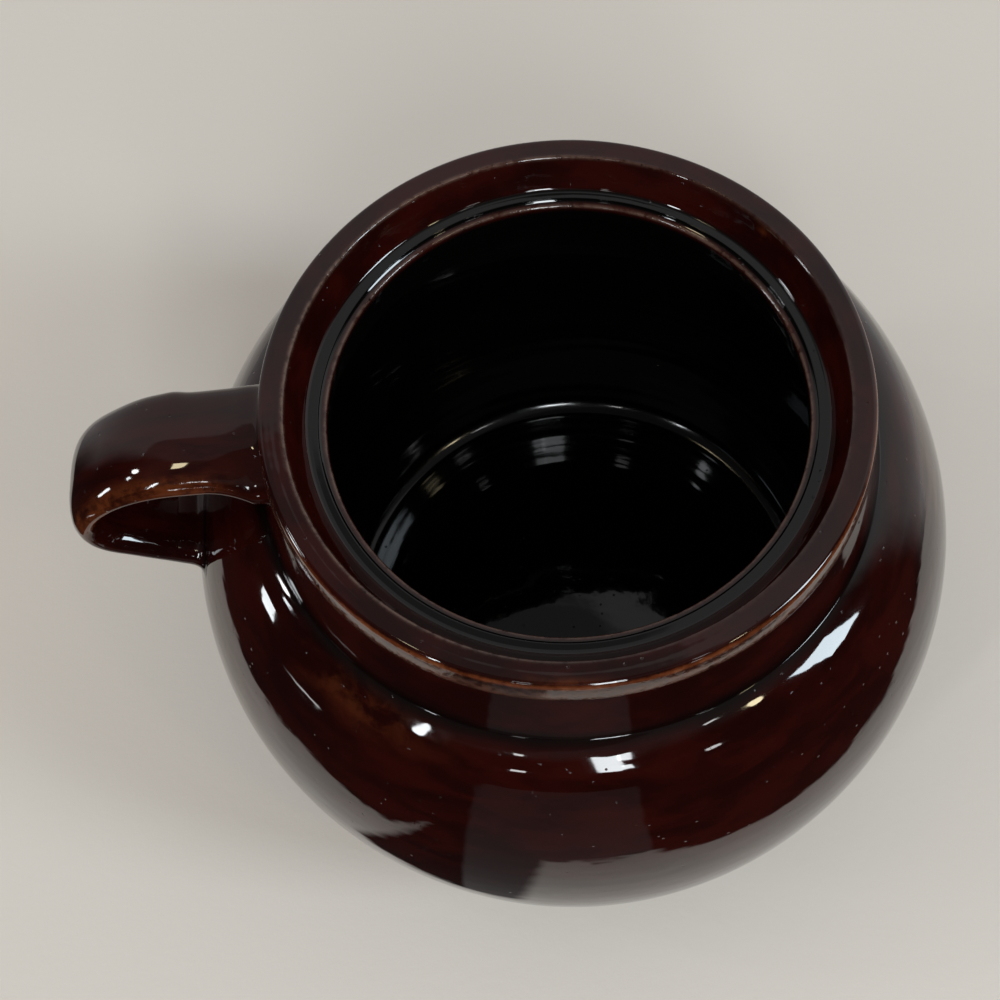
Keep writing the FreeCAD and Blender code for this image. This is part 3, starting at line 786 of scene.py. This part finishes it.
TREACLE = (0.0075, 0.0010, 0.0007)
OXBLOOD = (0.0168, 0.0019, 0.0012)
AMBER = (0.0700, 0.0165, 0.0048)
TAN = (0.1450, 0.0520, 0.0200)
DULL_TAN = (0.0950, 0.0560, 0.0430)
# Near black, for pooled glaze and for the painted shade inside the pot and at the handle's joints
POOL_AND_SHADE_BLACK = (0.0012, 0.0010, 0.0009)
BARE_CLAY, DARK_CLAY = (0.340, 0.245, 0.165), (0.240, 0.165, 0.105)
SPECK = (0.0040, 0.0024, 0.0020)

# Scales of the glaze's noises and spots, per metre, and depths of its relief, in metres
STREAKS_POT, STREAKS_HANDLE = 150.0, 260.0
CLOUD_SCALE, MOTTLE_SCALE, CRUMB_SCALE, GRAIN_SCALE = 26.0, 150.0, 520.0, 900.0
SPECK_SCALE, PIT_SCALE, BEAD_SCALE = 420.0, 330.0, 260.0
BEADS_AWAY = (0.3, 0.1, 0.2)                # moves the beads' grid off the others
SKIN_SCALE, WAVE_SCALE = 95.0, 230.0
SKIN_DEPTH, WAVE_DEPTH, WORN_DEPTH = 0.00012, 0.00005, 0.00006
PIT_DEPTH, BEAD_DEPTH, CLAY_DEPTH = 0.00010, 0.00012, 0.00012
POOL_AND_SHADE_CALM = 0.30                          # how much of the wavy skin is left where the glaze pooled and where shade is painted
# Roughness of the glaze, and what wear, a dull skin and bare clay add to it
GLOSSIEST, GLOSSY = 0.030, 0.060
WORN_ROUGH, MATT_ROUGH, BARE_ROUGH = 0.15, 0.30, 0.72
GLAZE_IOR = 1.50


def glaze(name, thin_colour, streak_scale):
    """Treacle glaze: dark where it is thick, amber where thin, with specks and a wavy skin; near
    black where it pooled, on the lid's seat, and as painted shade inside the pot and at the
    handle's joints, most on the near side.
    """
    material, g, shader, out = new_material(name)
    g.feed(out.inputs["Surface"], shader.outputs[0])
    place, thrown = g.place(), g.attribute("thrown", "Vector")
    thin, dull, pool_and_shade = g.attribute("thin"), g.attribute("dull"), g.attribute("pool_and_shade")
    streak = g.noise(thrown, streak_scale, 4.0, 0.55, 0.3)
    cloud = g.noise(place, CLOUD_SCALE, 3.0, 0.55, 0.2)
    mottle = g.noise(place, MOTTLE_SCALE, 5.0, 0.65, 0.6)
    grain = g.noise(place, GRAIN_SCALE, 3.0, 0.6)
    crumb = g.noise(place, CRUMB_SCALE, 3.0, 0.6)

    # Thick glaze in two tones, warmer in places, nearly black where it pooled and on the lid's
    # seat, and painted shade inside the pot and at the handle's joints
    tone = g.plus(g.times(streak, 0.62), g.times(cloud, 0.38))
    colour = g.mix(g.span(tone, 0.38, 0.62), TREACLE, OXBLOOD)
    patchy = g.plus(g.times(streak, 0.5), g.times(mottle, 0.5))
    warm = g.times(g.attribute("warm"), g.span(patchy, 0.40, 0.58))
    colour = g.mix(g.times(warm, 0.75), colour, AMBER)
    colour = g.mix(pool_and_shade, colour, POOL_AND_SHADE_BLACK)

    # Thin glaze on edges, through amber to the thin colour, and edges rubbed dull
    rough = g.plus(g.times(mottle, 0.35), g.times(crumb, 0.25), g.times(streak, 0.40))
    worn = g.times(thin, g.span(rough, 0.36, 0.60, 0.35, 1.0))
    half = g.mix(g.span(worn, 0.06, 0.42), colour, AMBER)
    colour = g.mix(g.span(worn, 0.38, 0.80), half, thin_colour)
    crumbly = g.plus(g.times(mottle, 0.45), g.times(crumb, 0.55))
    rubbed = g.times(dull, g.span(crumbly, 0.40, 0.56, 0.22, 1.0))
    colour = g.mix(rubbed, colour, DULL_TAN)
    colour = g.mix(g.times(g.spots(place, SPECK_SCALE, 0.16, 0.08), 0.8), colour, SPECK)

    # Bare clay under the foot
    bare = g.times(g.attribute("bare"), g.span(mottle, 0.28, 0.40, 0.86, 1.0))
    clay = g.mix(g.span(grain, 0.35, 0.65), BARE_CLAY, DARK_CLAY)
    g.feed(shader.inputs["Base Color"], g.mix(bare, colour, clay))

    gloss = g.plus(g.span(mottle, 0.30, 0.70, GLOSSIEST, GLOSSY),
                   g.times(g.span(g.plus(worn, rubbed), 0.2, 0.9), WORN_ROUGH),
                   g.times(g.attribute("matt"), MATT_ROUGH))
    gloss = g.math("ADD", gloss, g.times(bare, BARE_ROUGH), clamp=True)
    g.feed(shader.inputs["Roughness"], gloss)
    shader.inputs["IOR"].default_value = GLAZE_IOR

    calm = g.span(pool_and_shade, 0.0, 1.0, 1.0, POOL_AND_SHADE_CALM)
    beads_place = g.vector("ADD", place, BEADS_AWAY)
    heights = (
        (g.times(g.plus(g.noise(place, SKIN_SCALE, 2.0, 0.45), -0.5), calm), SKIN_DEPTH),
        (g.times(g.plus(g.noise(thrown, WAVE_SCALE, 2.0, 0.4), -0.5), calm), WAVE_DEPTH),
        (g.times(g.plus(worn, rubbed), crumb), WORN_DEPTH),
        (g.times(g.spots(place, PIT_SCALE, 0.12, 0.04), -1.0), PIT_DEPTH),
        (g.spots(beads_place, BEAD_SCALE, 0.10, 0.03), BEAD_DEPTH),
        (g.times(grain, bare), CLAY_DEPTH),
    )
    relief = None
    for height, depth in heights:
        relief = g.bump(height, depth, relief)
    g.feed(shader.inputs["Normal"], relief)
    return material


# ---------------------------------------------------------------------------------------------
# Floor, light and camera
# ---------------------------------------------------------------------------------------------
VIEW_TURN, VIEW_DOWN, VIEW_ROLL = 6.2, 65.5, 0.6
CAMERA_PLACE = (-6.2, -159.6, 442.2)
LENS = 54.0
SHIFT = (-0.117, -0.003)
RIM_CENTRE = Vector((0.0, 0.0, RIM_Z * MM))
WORLD_COLOUR = (0.62, 0.62 * 0.99, 0.62 * 0.97)
FLOOR_HALF = 12.0                           # metres
FLOOR_COLOURS = (0.512, 0.471, 0.428), (0.545, 0.503, 0.460)
FLOOR_CLOUD, FLOOR_GRAIN, FLOOR_RELIEF = 1.6, 300.0, 0.00010
FLOOR_ROUGH, FLOOR_SPECULAR = 0.85, 0.2

# What the gloss shows of the studio. Azimuths are counted as the camera sees them: 0 right, 90 far
PALE_SIDE = (84.0, 76.0, 7.0, 0.42)         # middle, half width, softness, level
WINDOW_SIDE = (38.0, 22.0, 8.0, 0.22)
GREY_CARD = (-92.5, 17.5, 0.7, 0.095)
OVERHEAD_FROM, OVERHEAD_SOFT, OVERHEAD_LEVEL = 50.0, 8.0, 0.12  # elevation, softness, level
BLACK_CARD = (-165.0, 72.0, 30.0, 0.6)      # azimuth, elevation, radius, how much it takes away
BLACK_CARD_SOFT = 1.0
# Where the pale table cover ends: each zone lies past all of its lines (azimuth, metres from the
# axis). The last is something dark that lies on the cover.
DARK_ZONES = (
    ((-88.0, 0.193),),
    ((-151.0, 0.200),),
    ((-115.0, 0.176), (180.0, 0.100)),
    ((-104.0, 0.090), (180.0, 0.205)),
    ((-45.0, 0.170),),
    ((0.0, 0.240),),
    ((-102.0, 0.102), (90.0, -0.225), (180.0, 0.014), (-12.2, -0.064)),
)
DARK_LEVEL = 0.012
DARK_FADE = 0.008
# A lit strip on the floor to the left, as the gloss shows it: azimuth, then in metres from the
# axis where it is nearest and farthest, and its two ends across that. Each side has its own fade.
LIT_STRIP = (-157.0, 0.385, 0.422, -0.015, 0.070)
NEAR_FADE, FAR_FADE, START_FADE, END_FADE = 0.006, 0.012, 0.060, 0.004
LIT_STRIP_LEVEL = 5.0


def towards(azimuth, elevation):
    """The direction of an azimuth and elevation as the camera counts them."""
    a, e = math.radians(azimuth - VIEW_TURN), math.radians(elevation)
    return Vector((math.cos(e) * math.cos(a), math.cos(e) * math.sin(a), math.sin(e)))


def sector(g, way, middle, half, soft, level):
    """A stretch of azimuths at a level, for a direction or a place on the floor."""
    flat = g.vector("NORMALIZE", g.vector("MULTIPLY", way, (1.0, 1.0, 0.0)))
    facing = g.vector("DOT_PRODUCT", flat, towards(middle, 0.0), "Value")
    outer, inner = (math.cos(math.radians(half + sign * soft)) for sign in (1.0, -1.0))
    return g.span(facing, outer, inner, 0.0, level)


def make_world():
    """Even light on every surface; only its reflections see a pale far side and a dark near one."""
    world = bpy.data.worlds.new("studio")
    world.use_nodes = True
    g = Graph(world.node_tree)
    back, out = g.add("ShaderNodeBackground"), g.add("ShaderNodeOutputWorld")
    way = g.place("Generated")
    up = g.vector("DOT_PRODUCT", way, (0.0, 0.0, 1.0), "Value")
    rise = [math.sin(math.radians(OVERHEAD_FROM + sign * OVERHEAD_SOFT)) for sign in (-1.0, 1.0)]
    overhead = g.span(up, *rise, 0.0, OVERHEAD_LEVEL)
    window = g.times(sector(g, way, *WINDOW_SIDE), g.span(up, *rise, 1.0, 0.0))
    room = g.math("MAXIMUM", g.plus(sector(g, way, *PALE_SIDE), window), overhead)
    azimuth, elevation, radius, taken = BLACK_CARD
    facing = g.vector("DOT_PRODUCT", way, towards(azimuth, elevation), "Value")
    edge = [math.cos(math.radians(radius + sign * BLACK_CARD_SOFT)) for sign in (1.0, -1.0)]
    room = g.times(room, g.span(facing, *edge, 1.0, 1.0 - taken))
    shown = g.mix(g.glossy_rays(), WORLD_COLOUR, g.plus(room, DARK_LEVEL))
    g.feed(back.inputs["Color"], shown)
    g.feed(out.inputs["Surface"], back.outputs[0])
    bpy.context.scene.world = world


def floor_material():
    """Pale and plain; to reflections the table ends near the pot and the dark room begins."""
    material, g, shader, out = new_material("pale_floor")
    place = g.place()
    cloud = g.noise(place, FLOOR_CLOUD, 4.0, 0.55)
    g.feed(shader.inputs["Base Color"], g.mix(g.span(cloud, 0.3, 0.7), *FLOOR_COLOURS))
    shader.inputs["Roughness"].default_value = FLOOR_ROUGH
    shader.inputs["Specular IOR Level"].default_value = FLOOR_SPECULAR
    grain = g.noise(place, FLOOR_GRAIN, 3.0, 0.6)
    g.feed(shader.inputs["Normal"], g.bump(grain, FLOOR_RELIEF))

    def out_along(azimuth):
        return g.vector("DOT_PRODUCT", place, towards(azimuth, 0.0), "Value")

    beyond = 0.0
    for zone in DARK_ZONES:
        past = 1.0
        for azimuth, edge in zone:
            past = g.times(g.span(out_along(azimuth), edge, edge + DARK_FADE), past)
        beyond = g.math("MAXIMUM", past, beyond)
    azimuth, nearest, farthest, start, end = LIT_STRIP
    outward, sideways = out_along(azimuth), out_along(azimuth + 90.0)
    strip = g.times(g.span(outward, nearest - NEAR_FADE, nearest + NEAR_FADE),
                    g.span(outward, farthest + FAR_FADE, farthest - FAR_FADE),
                    g.span(sideways, start, start + START_FADE),
                    g.span(sideways, end + END_FADE, end - END_FADE), LIT_STRIP_LEVEL)
    sides = [sector(g, place, *side) for side in (PALE_SIDE, WINDOW_SIDE, GREY_CARD)]
    glow = g.add("ShaderNodeEmission")
    g.feed(glow.inputs["Color"], g.plus(*sides, strip, DARK_LEVEL))
    both = g.add("ShaderNodeMixShader")
    g.feed(both.inputs[0], g.times(beyond, g.glossy_rays()))
    g.feed(both.inputs[1], shader.outputs[0])
    g.feed(both.inputs[2], glow.outputs[0])
    g.feed(out.inputs["Surface"], both.outputs[0])
    return material


def make_floor():
    h = FLOOR_HALF
    mesh = bpy.data.meshes.new("floor")
    corners = [(-h, -h, 0.0), (h, -h, 0.0), (h, h, 0.0), (-h, h, 0.0)]
    mesh.from_pydata(corners, [], [(0, 1, 2, 3)])
    floor = bpy.data.objects.new("floor", mesh)
    bpy.context.scene.collection.objects.link(floor)
    mesh.materials.append(floor_material())


COOL, WARM = (0.92, 0.97, 1.0), (1.0, 0.86, 0.55)
BLUE, WHITE = (0.80, 0.92, 1.0), (1.0, 1.0, 1.0)
LAMP_DISTANCE = 2.8
# Where a lamp's middle lies from the rim (azimuth, elevation), its width and height in degrees,
# its level, shape, spin in degrees, and colour
LAMPS = {
    "right_box": (-17.2, 33.5, 11.5, 21.0, 20.0, "RECTANGLE", 12.0, BLUE),
    "near_box": (-80.5, 37.5, 5.5, 23.0, 21.0, "RECTANGLE", 0.0, COOL),
    "near_box_high": (-75.5, 44.5, 3.0, 9.0, 21.0, "RECTANGLE", 0.0, COOL),
    "near_box_low": (-76.0, 30.0, 2.5, 7.0, 21.0, "RECTANGLE", 0.0, COOL),
    "left_box": (-172.4, 13.0, 5.5, 13.0, 20.0, "RECTANGLE", 15.0, COOL),
    "left_box_high": (-176.5, 37.5, 2.6, 3.6, 20.0, "RECTANGLE", 20.0, COOL),
    "near_left_box": (-130.7, 42.5, 2.8, 17.5, 21.0, "ELLIPSE", 9.0, COOL),
    "near_slit": (-103.0, 25.0, 3.2, 2.6, 14.0, "RECTANGLE", 0.0, WHITE),
    "near_slit_high": (-105.0, 49.0, 3.0, 2.4, 14.0, "RECTANGLE", 0.0, WHITE),
    "near_right_slit": (-56.0, 21.0, 3.0, 3.0, 12.0, "RECTANGLE", 0.0, WHITE),
    "near_right_slit_high": (-48.0, 54.0, 3.0, 2.6, 12.0, "RECTANGLE", 0.0, WHITE),
    "left_spot": (176.6, 43.0, 3.0, 5.0, 22.0, "ELLIPSE", 0.0, WHITE),
    "warm_lamp": (-37.0, 47.0, 3.2, 6.5, 18.0, "ELLIPSE", 0.0, WARM),
    "warm_top": (175.0, 73.0, 5.0, 1.6, 16.0, "RECTANGLE", 0.0, WARM),
}


def add_lamp(name, azimuth, elevation, wide, high, level, shape, spin, colour):
    data = bpy.data.lights.new(name, "AREA")
    data.shape = shape
    data.size = 2.0 * LAMP_DISTANCE * math.tan(math.radians(wide / 2.0))
    data.size_y = 2.0 * LAMP_DISTANCE * math.tan(math.radians(high / 2.0))
    data.energy = level * math.pi * data.size * data.size_y
    data.color = colour
    lamp = bpy.data.objects.new(name, data)
    direction = towards(azimuth, elevation)
    lamp.location = RIM_CENTRE + direction * LAMP_DISTANCE
    turn = direction.to_track_quat("Z", "Y").to_matrix()
    lamp.rotation_euler = (turn @ Matrix.Rotation(math.radians(spin), 3, "Z")).to_euler()
    bpy.context.scene.collection.objects.link(lamp)


def make_lamps():
    for name, values in LAMPS.items():
        add_lamp(name, *values)


def make_camera():
    data = bpy.data.cameras.new("camera")
    data.lens = LENS
    data.sensor_width = 36.0
    data.shift_x, data.shift_y = SHIFT
    data.clip_start = 0.01
    camera = bpy.data.objects.new("camera", data)
    turn = Euler((0.0, 0.0, math.radians(-VIEW_TURN))).to_matrix()
    tilt = Euler((math.radians(90.0 - VIEW_DOWN), 0.0, 0.0)).to_matrix()
    roll = Euler((0.0, 0.0, math.radians(VIEW_ROLL))).to_matrix()
    place = Matrix.Translation(Vector(CAMERA_PLACE) * MM)
    camera.matrix_world = place @ (turn @ tilt @ roll).to_4x4()
    bpy.context.scene.collection.objects.link(camera)
    bpy.context.scene.camera = camera


def main():
    bpy.context.scene.view_settings.view_transform = "Standard"
    pot = make_pot()
    handle = make_handle(pot)
    pot.data.materials.append(glaze("treacle_glaze", TAN, STREAKS_POT))
    handle.data.materials.append(glaze("treacle_glaze_handle", AMBER, STREAKS_HANDLE))
    make_floor()
    make_world()
    make_lamps()
    make_camera()


main()
